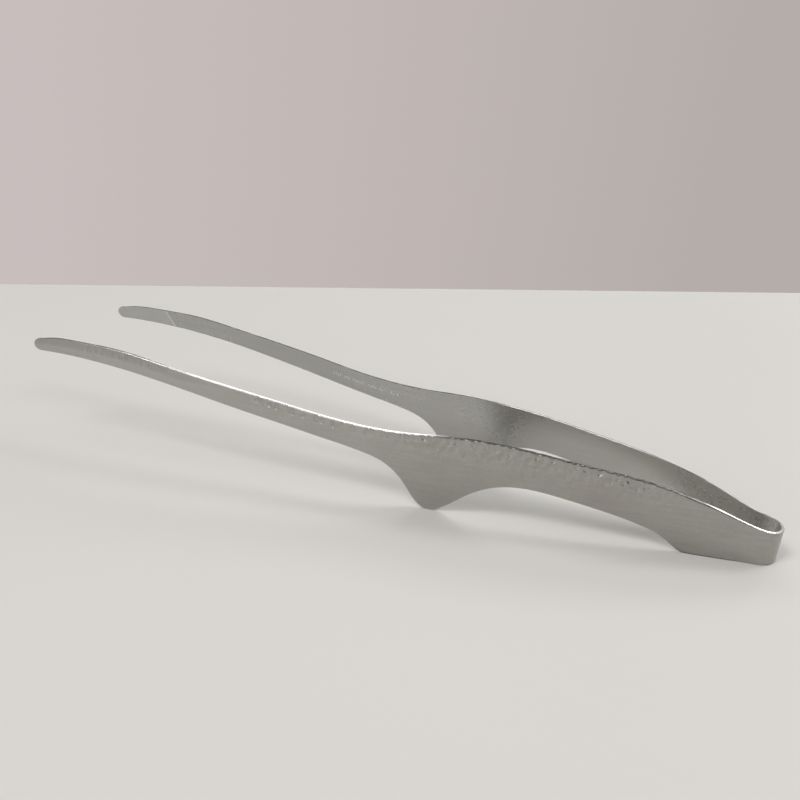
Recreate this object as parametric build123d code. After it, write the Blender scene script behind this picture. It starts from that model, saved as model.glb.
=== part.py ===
from build123d import *
import math
import os

# Sprung one-strip tongs: a single strip of 1 mm stainless sheet, standing on its
# edge and bent into a long hairpin. The U-bend is the spring, the deep lobes half
# way along are the finger pads, and the thin ends are the gripping tips.
#
# Frame: +X towards the U-bend (heel), tips at -X, jaws open along Y, +Z up.
# Origin: centre of the bounding box in plan, on the plane the tongs stand on.
#
# The strip is developable with vertical rulings, so each piece is its plan outline
# (a thin curved band) extruded along Z and cut to the side outline of the blank.
# The one strip is divided where it flexes: at the end of the U-bend and at the
# middle of the neck. Each flexure is a round knuckle of the sheet's thickness,
# in a socket with a 0.05 mm clearance, on a vertical axis in the middle of the sheet.

LENGTH = 240.0          # heel apex to tips
SHEET_T = 1.0           # sheet thickness
BEND_R = 6.2            # mid-surface radius of the U-bend
HEEL_HINGE_X = -14.0    # flexure between U-bend and handle, from the heel apex
NECK_HINGE_X = -51.0    # flexure between handle and arm, from the heel apex
KNUCKLE_R = SHEET_T / 2
SOCKET_R = KNUCKLE_R + 0.05
FOOT_FROM, FOOT_TO = -6.0, -26.0        # flat heel foot, on the ground
BELLY_FROM, BELLY_TO = -101.8, -104.0   # flat foot under each lobe, on the ground
TIP_START = -237.2      # where the rounded end of each tip starts
TOP_CUT = 60.0          # working height of the plan bands before they are cut
X0 = LENGTH / 2         # from heel-apex coordinates to the row frame

# Heading of each arm away from the -X axis, in degrees, along the arc length
# measured from the end of the U-bend.
HEADING = [(0, 6.55), (6, 10.13), (14, 8.92), (24, 5.24), (36, 7.96), (50, 8.75),
           (65, 6.88), (80, 5.82), (95, 10.32), (112, 2.05), (130, 2.68),
           (150, 4.61), (172, 1.87), (196, -0.45), (220, -0.82), (245, -1.02)]

# Side outline of the blank: height of its edges at distances from the heel apex.
TOP_EDGE = [(0, 10.91), (-3, 10.87), (-6, 11.27), (-9, 12.01), (-12, 12.97),
            (-16, 14.40), (-20, 15.78), (-25, 17.25), (-30, 18.50), (-36, 19.78),
            (-42, 20.82), (-49, 21.71), (-56, 22.40), (-64, 23.19), (-72, 24.01),
            (-80, 24.65), (-88, 24.95), (-95, 24.91), (-102, 24.57), (-108, 24.07),
            (-114, 23.59), (-120, 23.32), (-126, 23.29), (-132, 23.51),
            (-138, 23.94), (-145, 24.69), (-152, 25.60), (-160, 26.65),
            (-168, 27.64), (-176, 28.59), (-184, 29.54), (-192, 30.54),
            (-199, 31.44), (-206, 32.13), (-213, 32.36), (-220, 32.27),
            (-226, 32.17), (-231, 31.89), (-234, 31.45), (-237.2, 30.74)]
HEEL_EDGE = [(0, 0.63), (-2, 0.37), (-4, 0.15), (-6, 0.0)]
ARCH_EDGE = [(-26, 0.0), (-27, 0.13), (-28.5, 0.66), (-30, 1.50), (-31.5, 2.51),
             (-33, 3.51), (-35, 4.59), (-37, 5.42), (-40, 6.35), (-44, 7.38),
             (-48, 8.26), (-53, 9.22), (-58, 10.09), (-63, 10.89), (-68, 11.59),
             (-73, 12.01), (-77, 11.99), (-81, 11.53), (-84.5, 10.62),
             (-87.5, 9.41), (-90, 8.04), (-92.5, 6.32), (-95, 4.33), (-97, 2.74),
             (-99, 1.36), (-100.5, 0.50), (-101.8, 0.0)]
ARM_EDGE = [(-104, 0.0), (-105, 0.33), (-106, 0.94), (-107, 1.71), (-108.2, 2.92),
            (-109.5, 4.53), (-111, 6.52), (-112.5, 8.35), (-114, 9.86),
            (-116, 11.43), (-118, 12.60), (-120.5, 13.62), (-123.5, 14.41),
            (-127, 15.07), (-131, 15.72), (-136, 16.44), (-142, 17.29),
            (-149, 18.36), (-157, 19.58), (-166, 20.94), (-175, 22.32),
            (-184, 23.66), (-193, 24.87), (-202, 25.87), (-210, 26.49),
            (-218, 26.87), (-225, 27.00), (-231, 26.92), (-234, 26.80),
            (-237.2, 26.62)]


def heading(s):
    """Heading in radians at arc length s after the U-bend."""
    for (a, ha), (b, hb) in zip(HEADING, HEADING[1:]):
        if s <= b:
            return math.radians(ha + (hb - ha) * (s - a) / (b - a))
    return math.radians(HEADING[-1][1])


def mid_curve():
    """Mid-surface of one arm in plan: (x, half gap, heading), every 0.1 mm, from
    the end of the U-bend to beyond the tip."""
    start = heading(0)
    centre = -SHEET_T / 2 - BEND_R
    x = centre + BEND_R * math.sin(start)
    y = BEND_R * math.cos(start)
    out, step, s = [(x, y, start)], 0.1, 0.0
    while x > -LENGTH - 1:
        h = heading(s + step / 2)
        x -= step * math.cos(h)
        y += step * math.sin(h)
        s += step
        out.append((x, y, heading(s)))
    return out


CURVE = mid_curve()


def at(x):
    """Index of the curve point nearest to a distance from the heel apex."""
    return min(range(len(CURVE)), key=lambda i: abs(CURVE[i][0] - x))


def side(i, offset, arm):
    """Point of the sheet's face at curve index i; offset > 0 is the outer face.
    arm is -1 for the front arm and +1 for the rear arm."""
    x, y, h = CURVE[i]
    return (x + X0 + offset * math.sin(h), arm * (y + offset * math.cos(h)))


def face_points(i0, i1, offset, arm, pitch=25):
    n = max(3, round((i1 - i0) / pitch))
    return [side(i0 + round((i1 - i0) * k / n), offset, arm) for k in range(n + 1)]


def along(i, distance, arm):
    """Point of the mid-surface that lies distance further along the heading."""
    x, y, h = CURVE[i]
    return (x + X0 - distance * math.cos(h), arm * (y + distance * math.sin(h)))


def band(i0, i1, arm, socket_at_end):
    """Plan outline of a stretch of arm: a round knuckle at i0, and at i1 either a
    socket or a square end."""
    half = SHEET_T / 2
    if socket_at_end:
        back = math.sqrt(SOCKET_R ** 2 - half ** 2)
        j = i1 - round(back / 0.1)
        x, y, h = CURVE[i1]

        def corner(offset):
            px, py = along(i1, -back, arm)
            return (px + offset * math.sin(h), py + arm * offset * math.cos(h))
        outer = face_points(i0, j - 5, half, arm) + [corner(half)]
        inner = face_points(i0, j - 5, -half, arm) + [corner(-half)]
        end = ThreePointArc(outer[-1], along(i1, -SOCKET_R, arm), inner[-1])
    else:
        outer = face_points(i0, i1, half, arm)
        inner = face_points(i0, i1, -half, arm)
        end = Line(outer[-1], inner[-1])
    start = ThreePointArc(inner[0], along(i0, -KNUCKLE_R, arm), outer[0])
    return make_face([Spline(*outer), end, Spline(*inner[::-1]), start])


def bow_band():
    """Plan outline of the U-bend with its two short legs, each ending in a socket."""
    half = SHEET_T / 2
    centre = X0 - SHEET_T / 2 - BEND_R
    i1 = at(HEEL_HINGE_X)
    back = math.sqrt(SOCKET_R ** 2 - half ** 2)
    h = CURVE[i1][2]

    def leg(offset, arm):
        px, py = along(i1, -back, arm)
        last = (px + offset * math.sin(h), py + arm * offset * math.cos(h))
        return face_points(0, i1 - round(back / 0.1) - 5, offset, arm, 10) + [last]
    edges = []
    for offset in (half, -half):
        r = BEND_R + offset
        f, b = leg(offset, -1), leg(offset, 1)
        edges += [Spline(*f), Spline(*b),
                  ThreePointArc(f[0], (centre + r, 0), b[0])]
        if offset > 0:
            tips = (f[-1], b[-1])
        else:
            edges += [ThreePointArc(tips[0], along(i1, -SOCKET_R, -1), f[-1]),
                      ThreePointArc(tips[1], along(i1, -SOCKET_R, 1), b[-1])]
    return make_face(edges)


def blank():
    """The flat blank's side outline, as a block through both arms."""
    def pts(table):
        return [(x + X0, z) for x, z in table]
    top, heel = pts(TOP_EDGE), pts(HEEL_EDGE)
    arch, arm = pts(ARCH_EDGE), pts(ARM_EDGE)
    beyond = X0 + 5
    mid = (top[-1][1] + arm[-1][1]) / 2
    depth, rise = LENGTH + TIP_START, (top[-1][1] - arm[-1][1]) / 2
    with BuildSketch(Plane.XZ) as sk:
        with BuildLine():
            Line((beyond, heel[0][1]), heel[0])
            Spline(*heel)
            Line(heel[-1], arch[0])
            Spline(*arch)
            Line(arch[-1], arm[0])
            Spline(*arm)
            Spline(*[(X0 + TIP_START - depth * math.cos(math.radians(a)),
                      mid + rise * math.sin(math.radians(a)))
                     for a in range(-90, 91, 15)])
            Spline(*top[::-1])
            Line(top[0], (beyond, top[0][1]))
            Line((beyond, top[0][1]), (beyond, heel[0][1]))
        make_face()
    return extrude(sk.sketch, amount=45, both=True)


def piece(plan, profile):
    bar = extrude(plan, amount=TOP_CUT)
    bar = Pos(0, 0, -1) * bar
    result = bar & profile
    return result.solids()[0]


os.makedirs("parts", exist_ok=True)
PROFILE = blank()
HEEL_I, NECK_I, END_I = at(HEEL_HINGE_X), at(NECK_HINGE_X), len(CURVE) - 1
NODES = {"spring_bow": piece(bow_band(), PROFILE)}
for NAME, ARM in (("front", -1), ("rear", 1)):
    NODES[NAME + "_handle"] = piece(band(HEEL_I, NECK_I, ARM, True), PROFILE)
    NODES[NAME + "_arm"] = piece(band(NECK_I, END_I, ARM, False), PROFILE)
for NAME, SOLID in NODES.items():
    SOLID.label = NAME
    export_step(SOLID, "parts/" + NAME + ".step")
    BOX = SOLID.bounding_box()
    print(NAME, round(SOLID.volume, 1), BOX.min, BOX.max)
print("heel hinge", CURVE[HEEL_I], "neck hinge", CURVE[NECK_I])
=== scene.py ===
import math

import bpy
import numpy as np
from mathutils import Matrix, Vector


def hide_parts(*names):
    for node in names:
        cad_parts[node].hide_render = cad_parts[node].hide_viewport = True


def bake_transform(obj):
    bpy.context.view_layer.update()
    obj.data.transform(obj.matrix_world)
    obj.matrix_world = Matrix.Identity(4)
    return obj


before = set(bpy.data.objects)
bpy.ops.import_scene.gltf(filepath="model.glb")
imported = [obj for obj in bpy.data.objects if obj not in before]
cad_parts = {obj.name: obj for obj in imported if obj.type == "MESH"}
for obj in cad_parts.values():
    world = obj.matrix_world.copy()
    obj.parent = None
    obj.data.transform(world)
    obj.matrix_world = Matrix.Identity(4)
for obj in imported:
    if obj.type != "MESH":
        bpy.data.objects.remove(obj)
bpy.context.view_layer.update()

MM = 0.001

# ---------------------------------------------------------------- the strip
LENGTH, SHEET_T, BEND_R = 240.0, 1.0, 6.2
HALF = SHEET_T / 2
X0 = LENGTH / 2
TIP_START, TIP_DEPTH = -237.2, 2.8
SEAM_X = -31.0          # where a visual piece of the bow meets that of the arm
EDGE_R = 0.32           # depth of the rounding along the cut edges

# profile of the upper cut edge: depth below the edge line against the offset of
# the outer face, the same where the hammer has rolled it over, and the inner face
RIM_D = [0, 0.012, 0.03, 0.065, 0.10, 0.15, 0.22, 0.32]
RIM_OUTER = [-0.30, -0.16, 0.02, 0.33, 0.405, 0.455, 0.488, 0.5]
RIM_ROLLED = [-0.30, -0.27, -0.22, -0.14, -0.05, 0.10, 0.28, 0.5]
RIM_INNER = [0.30, 0.37, 0.42, 0.462, 0.482, 0.494, 0.5, 0.5]

HEADING = [(0, 6.55), (6, 10.13), (14, 8.92), (24, 5.24), (36, 7.96), (50, 8.75),
           (65, 6.88), (80, 5.82), (95, 10.32), (112, 2.05), (130, 2.68),
           (150, 4.61), (172, 1.87), (196, -0.45), (220, -0.82), (245, -1.02)]
TOP_EDGE = [(0, 10.91), (-3, 10.87), (-6, 11.27), (-9, 12.01), (-12, 12.97),
            (-16, 14.40), (-20, 15.78), (-25, 17.25), (-30, 18.50), (-36, 19.78),
            (-42, 20.82), (-49, 21.71), (-56, 22.40), (-64, 23.19), (-72, 24.01),
            (-80, 24.65), (-88, 24.95), (-95, 24.91), (-102, 24.57), (-108, 24.07),
            (-114, 23.59), (-120, 23.32), (-126, 23.29), (-132, 23.51),
            (-138, 23.94), (-145, 24.69), (-152, 25.60), (-160, 26.65),
            (-168, 27.64), (-176, 28.59), (-184, 29.54), (-192, 30.54),
            (-199, 31.44), (-206, 32.13), (-213, 32.36), (-220, 32.27),
            (-226, 32.17), (-231, 31.89), (-234, 31.45), (-237.2, 30.74)]
BOTTOM_PARTS = [
    [(0, 0.63), (-2, 0.37), (-4, 0.15), (-6, 0.0)],
    [(-6, 0.0), (-26, 0.0)],
    [(-26, 0.0), (-27, 0.13), (-28.5, 0.66), (-30, 1.50), (-31.5, 2.51),
     (-33, 3.51), (-35, 4.59), (-37, 5.42), (-40, 6.35), (-44, 7.38), (-48, 8.26),
     (-53, 9.22), (-58, 10.09), (-63, 10.89), (-68, 11.59), (-73, 12.01),
     (-77, 11.99), (-81, 11.53), (-84.5, 10.62), (-87.5, 9.41), (-90, 8.04),
     (-92.5, 6.32), (-95, 4.33), (-97, 2.74), (-99, 1.36), (-100.5, 0.50),
     (-101.8, 0.0)],
    [(-101.8, 0.0), (-104, 0.0)],
    [(-104, 0.0), (-105, 0.33), (-106, 0.94), (-107, 1.71), (-108.2, 2.92),
     (-109.5, 4.53), (-111, 6.52), (-112.5, 8.35), (-114, 9.86), (-116, 11.43),
     (-118, 12.60), (-120.5, 13.62), (-123.5, 14.41), (-127, 15.07),
     (-131, 15.72), (-136, 16.44), (-142, 17.29), (-149, 18.36), (-157, 19.58),
     (-166, 20.94), (-175, 22.32), (-184, 23.66), (-193, 24.87), (-202, 25.87),
     (-210, 26.49), (-218, 26.87), (-225, 27.00), (-231, 26.92), (-234, 26.80),
     (-237.2, 26.62)]]


def spline(table):
    """Natural cubic spline through a table of (x, z), as a function."""
    pts = sorted(table)
    x = np.array([p[0] for p in pts], float)
    z = np.array([p[1] for p in pts], float)
    n, h = len(x), np.diff(x)
    a, b = np.zeros((n, n)), np.zeros(n)
    a[0, 0] = a[-1, -1] = 1
    for i in range(1, n - 1):
        a[i, i - 1], a[i, i], a[i, i + 1] = h[i - 1], 2 * (h[i - 1] + h[i]), h[i]
        b[i] = 6 * ((z[i + 1] - z[i]) / h[i] - (z[i] - z[i - 1]) / h[i - 1])
    m = np.linalg.solve(a, b)

    def f(q):
        q = np.asarray(q, float)
        i = np.clip(np.searchsorted(x, q) - 1, 0, n - 2)
        l, r = q - x[i], x[i + 1] - q
        return ((m[i] * r ** 3 + m[i + 1] * l ** 3) / (6 * h[i])
                + (z[i] / h[i] - m[i] * h[i] / 6) * r
                + (z[i + 1] / h[i] - m[i + 1] * h[i] / 6) * l)
    return f


TOP_F = spline(TOP_EDGE)
BOTTOM_F = [(p[-1][0], spline(p)) for p in BOTTOM_PARTS]


def bottom(x):
    x = np.asarray(x, float)
    out = np.zeros_like(x)
    done = np.zeros(x.shape, bool)
    for lowest, f in BOTTOM_F:
        here = ~done & (x >= lowest)
        out[here] = f(x[here])
        done |= here
    out[~done] = BOTTOM_F[-1][1](np.full((~done).sum(), TIP_START))
    return np.maximum(out, 0)


def mid_line():
    """Arc length, x, half gap and heading of the mid-surface, from the bend's apex."""
    hs = np.radians(np.array(HEADING, float))
    knots, hs = np.array(HEADING, float)[:, 0], hs[:, 1]
    bend = BEND_R * (math.pi / 2 - hs[0])
    s = np.concatenate([np.arange(0, bend, 0.05), bend + np.arange(0, 245, 0.05)])
    eta = np.where(s < bend, math.pi / 2 - s / BEND_R,
                   np.interp(s - bend, knots, hs))
    ds = np.diff(s)
    mid = (eta[1:] + eta[:-1]) / 2
    x = -HALF - np.r_[0, np.cumsum(ds * np.cos(mid))]
    y = np.r_[0, np.cumsum(ds * np.sin(mid))]
    keep = x > -LENGTH - 0.2
    return s[keep], x[keep], y[keep], eta[keep]


LINE_S, LINE_X, LINE_Y, LINE_H = mid_line()


def s_at(x):
    return float(np.interp(-x, -LINE_X, LINE_S))


S_END, S_TIP, S_SEAM = s_at(-LENGTH), s_at(TIP_START), s_at(SEAM_X)


def columns(fine):
    """Arc lengths of the mesh's columns: closer where fine = [(from, to, step)] says."""
    out, s = [0.0], 0.0
    while s < S_TIP - 0.1:
        step = 0.5
        for a, b, c in fine:
            if a <= s < b:
                step = min(step, c)
        s += step
        out.append(s)
    out = [q for q in out if q < S_TIP - 0.12 and abs(q - S_SEAM) > 0.12]
    out.append(S_SEAM)
    out.sort()
    end = S_TIP + (S_END - S_TIP) * np.sin(np.linspace(0, math.pi / 2, 17))
    return np.array(out + list(end))


ROW_EDGE = np.array(RIM_D) / EDGE_R
ROWS_MID = 46


def hammer(rng, rows):
    """Seeded hammer blows as an array of (s, distance from the top edge, radius
    along, radius across, depth, slant), in mm. rows = [(x from, x to, pitch, distance,
    scatter, radius, depth)]."""
    blows = []
    for x_from, x_to, pitch, dist, scatter, radius, depth in rows:
        s, last = s_at(x_from), s_at(x_to)
        first = s
        while s < last:
            share = (s - first) / (last - first)
            fade = min(1.0, share / 0.12, (1 - share) / 0.22)
            fade = 0.35 + 0.65 * max(0.0, fade)
            r = radius * rng.uniform(0.8, 1.2)
            blows.append((s + rng.uniform(-0.3, 0.3) * pitch,
                          dist + rng.uniform(-1, 1) * scatter,
                          r * rng.uniform(0.7, 1.0), r * rng.uniform(1.0, 1.6),
                          depth * rng.uniform(0.45, 1.15) * fade,
                          rng.uniform(-0.45, 0.45)))
            s += pitch * rng.uniform(0.8, 1.2)
    return np.array(blows)


def pressed(blows, s, depth_from_top):
    """Depth of the hammered surface below the flat sheet, for a grid of points."""
    out = np.zeros_like(s)
    for s0, d0, rs, rd, a, slant in blows:
        near = np.abs(s[:, 0] - s0) < rs + abs(slant) * rd
        if not near.any():
            continue
        down = depth_from_top[near] - d0
        q = ((s[near] - s0 - slant * down) / rs) ** 2 + (down / rd) ** 2
        dent = a * np.clip(1 - q, 0, None) ** 1.5
        out[near] = np.maximum(out[near], dent)
    return out


def wave(s, z, rng, amount):
    """Slow unevenness of hand-worked sheet."""
    out = np.zeros_like(s)
    for _ in range(7):
        k = 2 * math.pi / rng.uniform(18, 55)
        a = rng.uniform(-0.5, 0.5)
        out += np.sin(k * (s * math.cos(a) + z * math.sin(a) * 1.6)
                      + rng.uniform(0, 6.28))
    return out / 7 * amount


def tick_row(s, z, mid):
    """Depth of a row of plain stamped ticks, along the inside of the rear arm."""
    out = np.zeros_like(s)
    marks, p = [], s_at(-127.6)
    for count in (5, 3, 4, 6, 3, 4):
        for k in range(count):
            marks.append(p)
            p += 0.82
        p += 0.95
    for i, c in enumerate(marks):
        near = np.abs(s[:, 0] - c) < 0.5
        if not near.any():
            continue
        tall = 0.42 if i % 3 else 0.55
        ds = np.abs(s[near] - c)
        dz = np.abs(z[near] - mid[near] - (0.12 if i % 2 else -0.08))
        cut = np.clip((0.19 - ds) / 0.13, 0, 1) * np.clip((tall - dz) / 0.14, 0, 1)
        out[near] = np.maximum(out[near], 0.08 * cut)
    return out


def arm_grid(arm):
    """All points of one half of the strip: columns along the arc, rows across the
    width, for the outer face and the inner face."""
    front = arm < 0
    rng = np.random.default_rng(41 if front else 77)
    fine = [(s_at(-210), S_TIP, 0.22)]
    if not front:
        fine.append((s_at(-126.6), s_at(-157.5), 0.15))
    fine.append((s_at(-26), s_at(-162), 0.34))
    col = columns(fine)
    x = np.interp(col, LINE_S, LINE_X)
    y = np.interp(col, LINE_S, LINE_Y)
    h = np.interp(col, LINE_S, LINE_H)
    blows = hammer(rng, [
        (-30, -124, 2.4, 1.15, 0.35, 1.32, 0.36),
        (-112, -168, 2.9, 1.55, 0.25, 1.15, 0.26),
        (-31, -120, 2.8, 3.0, 0.8, 1.45, 0.27),
        (-34, -112, 3.1, 5.0, 1.0, 1.60, 0.18),
        (-38, -106, 3.6, 7.2, 1.1, 1.80, 0.11),
        (-44, -102, 3.6, 9.6, 1.1, 1.8, 0.055),
        (-60, -113, 4.6, 13.0, 3.0, 2.4, 0.032),
        (-90, -112, 4.4, 19.0, 2.5, 2.2, 0.022),
        (-196, -222, 2.5, 1.7, 0.35, 1.1, 0.16)])
    zt, zb = TOP_F(np.maximum(x, TIP_START)), bottom(x)
    # blows on the rim leave it slightly scalloped
    rolled = np.clip((-x - 20) / 6, 0, 1) * np.clip((x + 108) / 14, 0, 1)
    nick = np.zeros_like(col)
    for s0, _, rs, _, a, _ in blows[blows[:, 1] < 1.3]:
        q = np.clip(1 - ((col - s0) / rs) ** 2, 0, None) ** 1.5
        zt = zt - (0.06 + 0.18 * np.interp(s0, col, rolled * (x < -48))) * a * q
        nick = np.maximum(nick, q)
    tip = np.clip((TIP_START - x) / TIP_DEPTH, 0, 1)
    mid, hw = (zt + zb) / 2, (zt - zb) / 2
    hw_tip = hw * np.sqrt(np.clip(1 - tip ** 2, 0, 1))
    top, low = mid + hw_tip, mid - hw_tip
    slope_t = np.gradient(zt, col)
    slope_b = np.gradient(zb, col)
    ct, cb = 1 / np.sqrt(1 + slope_t ** 2), 1 / np.sqrt(1 + slope_b ** 2)
    width = top - low
    lead_b = np.minimum(EDGE_R / cb, 0.42 * width)
    lead_t = np.minimum(EDGE_R / ct, 0.42 * width)
    z_low = low[:, None] + lead_b[:, None] * ROW_EDGE[None, :]
    z_top = top[:, None] - lead_t[:, None] * ROW_EDGE[None, ::-1]
    w = np.linspace(0, 1, ROWS_MID + 2)[None, 1:-1]
    z_mid = z_low[:, -1:] * (1 - w) + z_top[:, :1] * w
    z = np.hstack([z_low, z_mid, z_top])
    rows = z.shape[1]
    s = np.repeat(col[:, None], rows, 1)
    straight = np.minimum((zt[:, None] - z) * ct[:, None],
                          (z - zb[:, None]) * cb[:, None])
    rounded = TIP_DEPTH * (1 - np.sqrt(tip[:, None] ** 2
                                       + ((z - mid[:, None]) / hw[:, None]) ** 2))
    d = np.where(x[:, None] < TIP_START, np.minimum(rounded, straight), straight)
    d[:, 0] = d[:, -1] = 0
    d[-1, :] = 0
    d = np.maximum(d, 0)
    low_edge = HALF * (1 - (1 - np.minimum(d / EDGE_R, 1)) ** 3) ** (1 / 3)
    side = np.clip((z - mid[:, None]) / (0.3 * width[:, None] + 1e-6) + 0.5, 0, 1)
    side = side * (1 - tip[:, None]) ** 0.5
    # the rear arm's burr: a stretch of rim with a flatter roll and a lower ridge; the rim
    # colour there carries a painted glint
    burr_and_glint = np.zeros_like(x) if front else \
        np.clip((-x - 36) / 8, 0, 1) * np.clip((x + 95) / 10, 0, 1)
    roll = (rolled * (0.90 + 0.10 * nick) * (1.0 if front else 0.35 - 0.35 * burr_and_glint))[:, None]
    ridge = 0.30 + 0.12 * np.clip((-x[:, None] - 92) / 12, 0, 1)
    ridge = ridge - 0.13 * burr_and_glint[:, None]
    rim_out = (1 - roll) * np.interp(d, RIM_D, RIM_OUTER) \
        + roll * np.interp(d, RIM_D, RIM_ROLLED)
    rim_out = -ridge + (rim_out + 0.30) * (HALF + ridge) / 0.80
    rim_in = ridge + (np.interp(d, RIM_D, RIM_INNER) - 0.30) * (HALF - ridge) / 0.20
    half_out = low_edge + side * (rim_out - low_edge)
    half_in = low_edge + side * (rim_in - low_edge)
    share = low_edge / HALF
    dent = pressed(blows, s, zt[:, None] - z)
    slow = wave(s, z, rng, 0.018) + 0.018
    thin = 0.10 * np.clip((-x[:, None] - 178) / 14, 0, 1) \
        * np.clip((z - mid[:, None]) / np.maximum(hw[:, None], 1e-6) - 0.02, 0, 1)
    outer = half_out - share * (dent + slow + thin)
    x_rows = np.repeat(x[:, None], rows, 1)
    inside = wave(s, z, rng, 0.012) + 0.012
    # gripping pad: recessed a little, with a diamond stipple, up to a slanted bead
    frac = (z - low[:, None]) / np.maximum(width[:, None], 1e-6)
    bead_x = -220.2 + 4.3 * (1 - frac)
    past = bead_x - x_rows
    pad = np.clip(past / 0.25, 0, 1)
    k = 2 * math.pi / 0.80
    knurl = 0.5 + 0.5 * np.sin(k * (s + z) / 1.414) * np.sin(k * (s - z) / 1.414)
    inside = inside * (1 - pad) + pad * (0.02 + 0.06 * knurl)
    inside = inside - 0.09 * np.exp(-(past / 0.20) ** 2)
    ticks = np.zeros_like(s)
    if not front:
        ticks = tick_row(s, z, np.repeat(mid[:, None], rows, 1))
        inside = inside + ticks
    inner = half_in - share * np.clip(inside, 0, 0.4)
    nx, ny = np.sin(h)[:, None], np.cos(h)[:, None]
    faces = []
    for off, sign in ((outer, 1), (inner, -1)):
        px = x[:, None] + sign * off * nx + X0
        py = arm * (y[:, None] + sign * off * ny)
        faces.append(np.stack([px, py, z], 2))
    tags = {"pad": np.clip(past / 0.3, 0, 1),
            "rim": 1 - np.clip((d - 0.10) / 0.35, 0, 1),
            "bead": np.exp(-(past / 0.24) ** 2),
            "tick": ticks / 0.08,
            "dent": np.clip(dent / 0.2, 0, 1),
            "shade": np.clip((-x_rows - 176) / 16, 0, 1)
            * np.clip((z - mid[:, None]) / np.maximum(hw[:, None], 1e-6) * 2.2 + 0.35,
                      0, 1),
            # rim darkening: the front rim's hammered stretch, part wear and part painted
            # shade, and painted shade on the rim at the bend's apex and along the rear arm
            "wear_and_shade": np.maximum(np.clip((-x_rows - 20) / 6, 0, 1), 0.0 if front else 0.4)
            * (np.clip((x_rows + 108) / 14, 0, 1) if front else 1.0)
            + (0.75 if front else 0.35)
            * np.clip((x_rows + 4) / 3.5 if front else (x_rows + 7) / 3, 0, 1),
            # painted shade: a dark line along the top edge of the hammered stretch, where
            # the rim is rolled over
            "edge": np.clip((-x_rows - 9) / 6, 0, 1)
            * np.clip((x_rows + 112) / 12, 0, 1) * (1 - np.clip((d - 0.30) / 0.3, 0, 1))
            * np.maximum(side, np.clip((x_rows + 32) / 4, 0, 1)),
            "burr_and_glint": np.repeat(burr_and_glint[:, None], rows, 1)}
    return col, faces, d, tags


def vertex_normals(points, quads):
    """Area-weighted normals."""
    a, b, c, e = (points[quads[:, i]] for i in range(4))
    n = np.cross(c - a, e - b)
    out = np.zeros_like(points)
    for i in range(4):
        np.add.at(out, quads[:, i], n)
    return out / np.maximum(np.linalg.norm(out, axis=1)[:, None], 1e-12)


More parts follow.
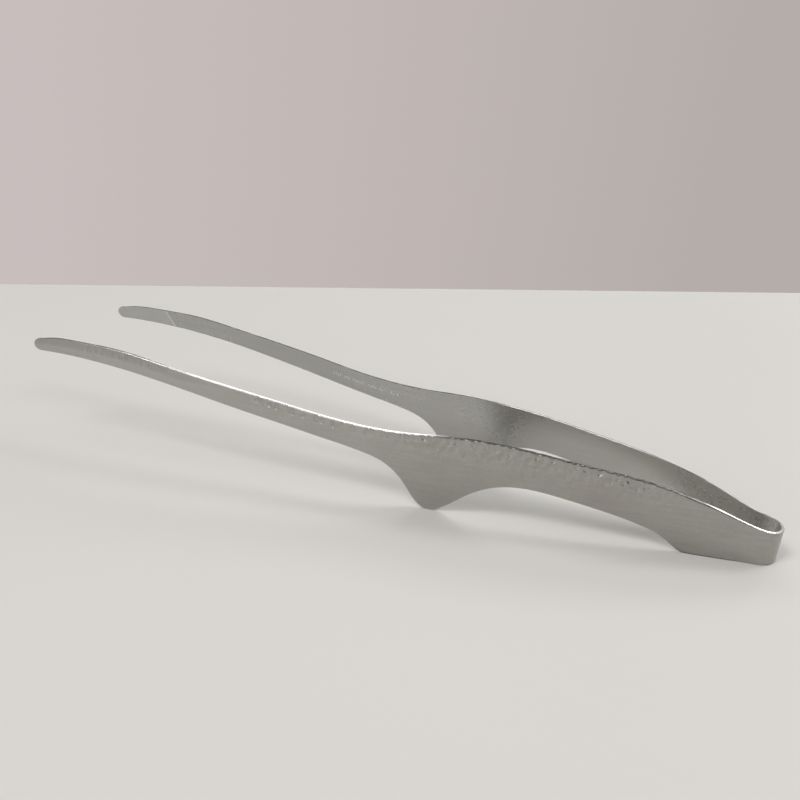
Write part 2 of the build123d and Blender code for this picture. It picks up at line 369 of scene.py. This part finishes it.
def build_half(arm, names, materials):
    """The two visual pieces of one half of the strip, each a closed mesh."""
    col, (outer, inner), d, tags = arm_grid(arm)
    n, rows = len(col), outer.shape[1]
    # ring of a column: up the outer face, down the inner face; rim rows are shared
    ring = 2 * rows - 2
    pts = np.zeros((n, ring, 3))
    pts[:, :rows] = outer
    pts[:, 0] = (outer[:, 0] + inner[:, 0]) / 2
    pts[:, rows - 1] = (outer[:, -1] + inner[:, -1]) / 2
    pts[:, rows:] = inner[:, rows - 2:0:-1]
    attr = {}
    for key, value in tags.items():
        a = np.zeros((n, ring))
        a[:, :rows] = value if key in ("rim", "dent", "wear_and_shade", "shade", "edge") else 0
        a[:, rows:] = 0 if key in ("dent", "shade") else value[:, rows - 2:0:-1]
        # on the inner face the rim darkening is left off where the burr carries its painted
        # glint
        if key == "wear_and_shade":
            a[:, rows:] *= 1 - tags["burr_and_glint"][:, rows - 2:0:-1]
        attr[key] = a
    i = np.arange(n - 1)[:, None]
    j = np.arange(ring)[None, :]
    k = (j + 1) % ring
    quads = np.stack([i * ring + j, i * ring + k, (i + 1) * ring + k,
                      (i + 1) * ring + j], 2).reshape(-1, 4)
    if arm > 0:
        quads = quads[:, ::-1]
    flat = pts.reshape(-1, 3)
    normals = vertex_normals(flat, quads)
    # mirror symmetry at the bend's apex keeps the two halves' shading together
    normals[:ring, 1] = 0
    normals[:ring] /= np.linalg.norm(normals[:ring], axis=1)[:, None]
    d_ring = np.zeros((n, ring))
    d_ring[:, :rows] = d
    d_ring[:, rows:] = d[:, rows - 2:0:-1]
    face_d = d_ring.reshape(-1)[quads].mean(1)
    jj = np.tile(np.arange(ring), n - 1)
    on_outer = jj < rows - 1
    kind = np.where(face_d < 0.16, 2, np.where(on_outer, 0, 1))
    seam = int(np.argmin(np.abs(col - S_SEAM)))
    made = []
    for name, first, last in ((names[0], 0, seam), (names[1], seam, n - 1)):
        v0, v1 = first * ring, (last + 1) * ring
        here = (quads.min(1) >= v0) & (quads.max(1) < v1)
        q = quads[here] - v0
        verts = flat[v0:v1].copy()
        norms = normals[v0:v1]
        kinds = list(kind[here])
        polys = [tuple(int(a) for a in f) for f in q]
        if last == n - 1:
            # the last column is the tip's own line: weld each row pair
            weld = {}
            base = (last - first) * ring
            for r in range(1, rows - 1):
                weld[base + ring - r] = base + r
            polys2, kinds2 = [], []
            for f, kd in zip(polys, kinds):
                g = []
                for a in f:
                    a = weld.get(a, a)
                    if a not in g:
                        g.append(a)
                if len(g) >= 3:
                    polys2.append(tuple(g))
                    kinds2.append(kd)
            polys, kinds = polys2, kinds2
            for a, b in weld.items():
                verts[b] = (verts[a] + verts[b]) / 2
        caps = []
        start_ring = list(range(ring))
        end_ring = list(range((last - first) * ring, (last - first) * ring + ring))

        def strip(r, flip):
            out = []
            for t in range(rows - 1):
                a, b = r[t], r[t + 1]
                c = r[(ring - t - 1) % ring] if t + 1 < rows - 1 else r[rows - 1]
                e = r[(ring - t) % ring]
                f = []
                for w in (a, b, c, e):
                    if w not in f:
                        f.append(w)
                if len(f) >= 3:
                    out.append(tuple(f[::-1]) if flip else tuple(f))
            return out
        caps += strip(start_ring, arm < 0)
        if last != n - 1:
            caps += strip(end_ring, arm > 0)
        polys += caps
        kinds += [1] * len(caps)
        used = sorted(set(a for f in polys for a in f))
        remap = {a: b for b, a in enumerate(used)}
        mesh = bpy.data.meshes.new(name)
        mesh.from_pydata((verts[used] * MM).tolist(), [],
                         [tuple(remap[a] for a in f) for f in polys])
        for key, value in attr.items():
            layer = mesh.attributes.new(key, "FLOAT", "POINT")
            layer.data.foreach_set("value", value.reshape(-1)[v0:v1][used]
                                   .astype(np.float32))
        for m in materials:
            mesh.materials.append(m)
        mesh.polygons.foreach_set("material_index", np.array(kinds, np.int32))
        mesh.polygons.foreach_set("use_smooth", np.ones(len(polys), bool))
        mesh.update()
        mesh.normals_split_custom_set_from_vertices(norms[used].tolist())
        obj = bpy.data.objects.new(name, mesh)
        bpy.context.scene.collection.objects.link(obj)
        made.append(obj)
    return made


# ---------------------------------------------------------------- materials
def nodes_of(name):
    m = bpy.data.materials.new(name)
    m.use_nodes = True
    nt = m.node_tree
    return m, nt, nt.nodes["Principled BSDF"]


def add(nt, kind, **sockets):
    node = nt.nodes.new(kind)
    for key, value in sockets.items():
        node.inputs[key.replace("_", " ")].default_value = value
    return node


def coords(nt, scale=(1, 1, 1)):
    tex = nt.nodes.new("ShaderNodeTexCoord")
    mapping = nt.nodes.new("ShaderNodeMapping")
    mapping.inputs["Scale"].default_value = scale
    nt.links.new(tex.outputs["Object"], mapping.inputs["Vector"])
    return mapping.outputs["Vector"]


def noise(nt, vector, scale, detail=3.0, rough=0.55):
    node = add(nt, "ShaderNodeTexNoise", Scale=scale, Detail=detail, Roughness=rough)
    nt.links.new(vector, node.inputs["Vector"])
    return node.outputs["Fac"]


def span(nt, value, low, high, a=0.0, b=1.0):
    node = nt.nodes.new("ShaderNodeMapRange")
    node.inputs["From Min"].default_value = a
    node.inputs["From Max"].default_value = b
    node.inputs["To Min"].default_value = low
    node.inputs["To Max"].default_value = high
    nt.links.new(value, node.inputs["Value"])
    return node.outputs["Result"]


def math_node(nt, op, a, b):
    node = nt.nodes.new("ShaderNodeMath")
    node.operation = op
    for k, v in enumerate((a, b)):
        if isinstance(v, (int, float)):
            node.inputs[k].default_value = v
        else:
            nt.links.new(v, node.inputs[k])
    return node.outputs[0]


def mix_colour(nt, factor, a, b):
    node = nt.nodes.new("ShaderNodeMix")
    node.data_type = "RGBA"
    if isinstance(factor, (int, float)):
        node.inputs[0].default_value = factor
    else:
        nt.links.new(factor, node.inputs[0])
    for k, v in ((6, a), (7, b)):
        if isinstance(v, tuple):
            node.inputs[k].default_value = (*v, 1)
        else:
            nt.links.new(v, node.inputs[k])
    return node.outputs[2]


def attribute(nt, name):
    node = nt.nodes.new("ShaderNodeAttribute")
    node.attribute_type = "GEOMETRY"
    node.attribute_name = name
    return node.outputs["Fac"]


def bump(nt, pairs, out):
    """Chains bump nodes: pairs of (height socket, strength, distance)."""
    last = None
    for height, strength, distance in pairs:
        node = add(nt, "ShaderNodeBump", Strength=strength, Distance=distance)
        nt.links.new(height, node.inputs["Height"])
        if last is not None:
            nt.links.new(last, node.inputs["Normal"])
        last = node.outputs["Normal"]
    nt.links.new(last, out)


def satin(name, tone, warm, rough_low, rough_high, inner):
    m, nt, b = nodes_of(name)
    b.inputs["Metallic"].default_value = 1.0
    v = coords(nt)
    blotch = noise(nt, v, 46, 2, 0.5)
    grain = noise(nt, v, 700 if inner else 1000, 1, 0.5)
    long_v = coords(nt, (0.03, 0.4, 1.0))
    streak = noise(nt, long_v, 800 if inner else 1400, 1, 0.5)
    split = nt.nodes.new("ShaderNodeSeparateXYZ")
    nt.links.new(v, split.inputs[0])
    along = span(nt, split.outputs["X"], 1.0, 0.0, -0.09, 0.10)
    mixed = math_node(nt, "ADD", math_node(nt, "MULTIPLY", along, -0.75),
                      span(nt, blotch, 0.55, 1.1, 0.3, 0.7))
    mixed = span(nt, mixed, 0, 1)
    colour = mix_colour(nt, mixed, tone, warm)
    swing = 0.012 if inner else 0.03
    fleck = span(nt, grain, 1 - swing, 1 + swing, 0.25, 0.75)
    lines = span(nt, streak, 0.98 - swing, 1.01 + swing, 0.25, 0.75)
    shade = math_node(nt, "MULTIPLY", fleck, lines)
    gray = nt.nodes.new("ShaderNodeVectorMath")
    gray.operation = "SCALE"
    nt.links.new(colour, gray.inputs[0])
    nt.links.new(shade, gray.inputs["Scale"])
    final = gray.outputs[0]
    rough = span(nt, blotch, rough_low, rough_high, 0.3, 0.7)
    rough = math_node(nt, "ADD", rough, span(nt, grain, -0.015, 0.015, 0.3, 0.7))
    if inner:
        pad = attribute(nt, "pad")
        final = mix_colour(nt, math_node(nt, "MULTIPLY", pad, 0.6), final,
                           (tone[0] * 1.18, tone[1] * 1.18, tone[2] * 1.16))
        rough = math_node(nt, "ADD", rough, math_node(nt, "MULTIPLY", pad, 0.10))
        tick = attribute(nt, "tick")
        final = mix_colour(nt, math_node(nt, "MULTIPLY", tick, 0.9), final,
                           (0.88, 0.87, 0.85))
        nt.links.new(span(nt, tick, 1.0, 0.25), b.inputs["Metallic"])
        bead = attribute(nt, "bead")
        final = mix_colour(nt, bead, final, (0.86, 0.85, 0.83))
        rough = math_node(nt, "MULTIPLY", rough,
                          math_node(nt, "SUBTRACT", 1.0,
                                    math_node(nt, "MULTIPLY", bead, 0.35)))
    if not inner:
        # painted shade in the dents: the dent mask, broken up by a noise, darkens the colour
        # of the hollows; the dents also get a smoother finish
        dent = attribute(nt, "dent")
        dent_shade_noise = noise(nt, v, 700, 3, 0.6)
        painted_dent_shade = math_node(nt, "MULTIPLY", dent, span(nt, dent_shade_noise, 0.05, 0.65, 0.35, 0.7))
        final = mix_colour(nt, painted_dent_shade, final,
                           (tone[0] * 0.74, tone[1] * 0.73, tone[2] * 0.71))
        rough = math_node(nt, "SUBTRACT", rough, math_node(nt, "MULTIPLY", dent, 0.12))
        shade = math_node(nt, "MULTIPLY", attribute(nt, "shade"),
                          span(nt, noise(nt, v, 260, 2, 0.6), 0.45, 0.95, 0.3, 0.7))
        final = mix_colour(nt, shade, final,
                           (tone[0] * 0.80, tone[1] * 0.79, tone[2] * 0.78))
    rim = attribute(nt, "rim")
    final = mix_colour(nt, math_node(nt, "MULTIPLY", rim, 0.35), final,
                       (tone[0] * 1.25, tone[1] * 1.25, tone[2] * 1.24))
    if inner:
        # the inside is lighter towards the bend and darker towards the tips
        lift = math_node(nt, "MULTIPLY", span(nt, split.outputs["X"], 1.0, 1.42, 0.062, 0.1),
                         span(nt, split.outputs["X"], 0.88, 1.0, -0.03, 0.02))
        part = nt.nodes.new("ShaderNodeVectorMath")
        part.operation = "SCALE"
        nt.links.new(final, part.inputs[0])
        nt.links.new(lift, part.inputs["Scale"])
        final = part.outputs[0]
    else:
        # painted shade: darkens the outer face to a dark line along the rolled top edge
        edge = math_node(nt, "MULTIPLY", attribute(nt, "edge"),
                         span(nt, noise(nt, v, 330, 2, 0.6), 0.55, 0.95, 0.3, 0.65))
        final = mix_colour(nt, edge, final, (tone[0] * 0.36, tone[1] * 0.35, tone[2] * 0.33))
    nt.links.new(final, b.inputs["Base Color"])
    nt.links.new(rough, b.inputs["Roughness"])
    if not inner:
        bump(nt, [(grain, 0.15, 0.000005), (streak, 0.15, 0.000004)],
             b.inputs["Normal"])
    return m


def burnished(name):
    m, nt, b = nodes_of(name)
    b.inputs["Metallic"].default_value = 1.0
    v = coords(nt)
    blotch = noise(nt, v, 240, 3, 0.6)
    fine = noise(nt, coords(nt, (0.08, 0.3, 1)), 2400, 3, 0.6)
    colour = mix_colour(nt, span(nt, blotch, 0, 1, 0.3, 0.7),
                        (0.66, 0.65, 0.63), (0.80, 0.79, 0.77))
    # rim darkening, part hammer wear and part painted shade where the rim's reflection
    # should be dark: darker, rougher and less metallic
    wear_and_shade = math_node(nt, "MULTIPLY", attribute(nt, "wear_and_shade"),
                     span(nt, noise(nt, v, 420, 2, 0.6), 0.78, 1.0, 0.35, 0.6))
    colour = mix_colour(nt, wear_and_shade, colour, (0.12, 0.116, 0.108))
    # painted glint: a near-white, rougher colour on the rear arm's burr stands in for the
    # reflection of a bright window along it
    burr_and_glint = math_node(nt, "MULTIPLY", attribute(nt, "burr_and_glint"),
                     math_node(nt, "SUBTRACT", 1.0, wear_and_shade))
    colour = mix_colour(nt, burr_and_glint, colour, (0.96, 0.955, 0.94))
    nt.links.new(colour, b.inputs["Base Color"])
    nt.links.new(span(nt, wear_and_shade, 1.0, 0.40), b.inputs["Metallic"])
    rough = math_node(nt, "ADD", span(nt, blotch, 0.17, 0.27, 0.3, 0.7),
                      math_node(nt, "MULTIPLY", wear_and_shade, 0.26))
    rough = math_node(nt, "ADD", rough, math_node(nt, "MULTIPLY", burr_and_glint, 0.16))
    rough = math_node(nt, "ADD", rough,
                      span(nt, fine, -0.03, 0.04, 0.3, 0.7))
    nt.links.new(rough, b.inputs["Roughness"])
    bump(nt, [(fine, 0.2, 0.00001)], b.inputs["Normal"])
    return m


OUTER = satin("steel_hammered_outer", (0.455, 0.45, 0.437), (0.395, 0.38, 0.356),
              0.29, 0.35, False)
INNER = satin("steel_satin_inner", (0.48, 0.48, 0.465), (0.47, 0.46, 0.44),
              0.26, 0.31, True)
RIM = burnished("steel_burnished_edge")

for name, arm in (("front", -1), ("rear", 1)):
    bow, limb = build_half(arm, ("bow_" + name + "_half", "arm_" + name + "_sheet"),
                           (OUTER, INNER, RIM))
    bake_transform(bow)
    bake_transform(limb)
    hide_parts("spring_bow", name + "_handle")
    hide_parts(name + "_handle", name + "_arm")

# ---------------------------------------------------------------- camera
F_PX, CX, CY = 892.4, 400.0, 431.8
PITCH, ROLL, HEIGHT = math.radians(22.72), math.radians(6.23), 126.85
YAW, TX, TY = math.radians(-15.14), 115.69, 236.31


def to_row(v, point=True):
    """From the view's level frame (camera at x=0, y=0) to the row frame, mm."""
    x, y, z = v
    if point:
        x, y = x - TX, y - TY
    c, s = math.cos(-YAW), math.sin(-YAW)
    out = Vector((x * c - y * s, x * s + y * c, z))
    if point:
        out.x += X0
    return out


eye = to_row((0, 0, HEIGHT))
right = to_row((1, 0, 0), False)
ahead = to_row((0, math.cos(PITCH), -math.sin(PITCH)), False)
upward = to_row((0, math.sin(PITCH), math.cos(PITCH)), False)
cam_right = right * math.cos(ROLL) + upward * math.sin(ROLL)
cam_up = upward * math.cos(ROLL) - right * math.sin(ROLL)
data = bpy.data.cameras.new("camera")
data.sensor_width = 36.0
data.lens = F_PX / 800 * 36.0
data.shift_x = (400 - CX) / 800
data.shift_y = (CY - 400) / 800
data.clip_start, data.clip_end = 0.01, 20
camera = bpy.data.objects.new("camera", data)
bpy.context.scene.collection.objects.link(camera)
turn = Matrix((cam_right, cam_up, -ahead)).transposed()
camera.matrix_world = Matrix.Translation(eye * MM) @ turn.to_4x4()
bpy.context.scene.camera = camera


def on_floor(px, py):
    """Where the sight line of a frame position meets the floor, in metres."""
    ray = (cam_right * ((px - CX) / F_PX) - cam_up * ((py - CY) / F_PX) + ahead)
    t = -eye.z / ray.z
    return (eye + ray * t) * MM


# ---------------------------------------------------------------- stage
def plane(name, corners, material):
    mesh = bpy.data.meshes.new(name)
    mesh.from_pydata([tuple(c) for c in corners], [], [tuple(range(len(corners)))])
    mesh.materials.append(material)
    mesh.update()
    obj = bpy.data.objects.new(name, mesh)
    bpy.context.scene.collection.objects.link(obj)
    return obj


def matte(name, a, b, rough, glow=None):
    m, nt, p = nodes_of(name)
    p.inputs["Roughness"].default_value = rough
    p.inputs["Specular IOR Level"].default_value = 0.25
    soft = noise(nt, coords(nt), 6, 2, 0.5)
    nt.links.new(mix_colour(nt, span(nt, soft, 0, 1, 0.3, 0.7), a, b),
                 p.inputs["Base Color"])
    if glow:
        side = nt.nodes.new("ShaderNodeVectorMath")
        side.operation = "DOT_PRODUCT"
        nt.links.new(coords(nt), side.inputs[0])
        side.inputs[1].default_value = along
        nt.links.new(mix_colour(nt, span(nt, side.outputs["Value"], 0, 1, *glow[0]),
                                *glow[1:]), p.inputs["Emission Color"])
        p.inputs["Emission Strength"].default_value = 1.0
    return m


left, right_end = on_floor(0, 284), on_floor(800, 293)
along = (right_end - left).normalized()
behind = Vector((-along.y, along.x, 0))
sight = (eye + (cam_right * 0 + ahead) * 3900) * MM
middle = sight.dot(along)
TABLE_MAT = matte("table_pale", (0.81, 0.79, 0.76), (0.82, 0.80, 0.77), 0.55)
# the wall's look is painted light: a glow over a near-black base, graded from lighter at the
# left end to darker at the right
WALL_MAT = matte("wall_pale", (0.05, 0.05, 0.05), (0.06, 0.055, 0.055), 0.9,
                 ((middle - 1.8, middle + 1.8), (0.570, 0.508, 0.502),
                  (0.450, 0.405, 0.393)))
a, b = left - along * 4, right_end + along * 4
plane("floor", [a - behind * 4.5, b - behind * 4.5, b, a], TABLE_MAT)
a, b = a + behind * 3.4 - along * 9, b + behind * 3.4 + along * 9
plane("wall", [a + Vector((0, 0, -2.5)), b + Vector((0, 0, -2.5)),
               b + Vector((0, 0, 0.66)), a + Vector((0, 0, 0.66))], WALL_MAT)


def area(name, place, size, power, colour=(1, 1, 1)):
    light = bpy.data.lights.new(name, "AREA")
    light.shape = "RECTANGLE"
    light.size, light.size_y = size
    light.energy = power
    light.color = colour
    obj = bpy.data.objects.new(name, light)
    bpy.context.scene.collection.objects.link(obj)
    obj.location = place
    obj.rotation_mode = "QUATERNION"
    obj.rotation_quaternion = (-Vector(place)).to_track_quat("-Z", "Y")
    return obj


area("lamp_front", (-0.64, -0.98, 1.50), (0.60, 0.75), 12.0, (1.0, 0.995, 0.98))
area("lamp_back", (1.20, 1.12, 1.50), (0.80, 0.75), 12.6, (1.0, 0.985, 0.965))
area("window_back", (-0.20, 1.31, 0.895), (0.97, 0.40), 3.1, (1.0, 1.0, 1.0))
area("window_right", (0.615, 1.350, 0.60), (0.31, 0.39), 1.5, (1.0, 1.0, 1.0))
area("fill_front", (-0.25, -1.45, 0.42), (1.30, 0.65), 3.7, (1.0, 0.995, 0.985))

world = bpy.data.worlds.new("room")
bpy.context.scene.world = world
world.use_nodes = True
wt = world.node_tree
where = wt.nodes.new("ShaderNodeTexCoord")
split = wt.nodes.new("ShaderNodeSeparateXYZ")
wt.links.new(where.outputs["Generated"], split.inputs[0])
ramp = wt.nodes.new("ShaderNodeMapRange")
ramp.interpolation_type = "SMOOTHSTEP"
for key, value in (("From Min", 0.0), ("From Max", 0.9), ("To Min", 0.16), ("To Max", 0.36)):
    ramp.inputs[key].default_value = value
wt.links.new(split.outputs["Z"], ramp.inputs["Value"])
wt.nodes["Background"].inputs["Color"].default_value = (0.95, 0.95, 0.94, 1)
wt.links.new(ramp.outputs["Result"], wt.nodes["Background"].inputs["Strength"])
bpy.context.scene.view_settings.view_transform = "Standard"
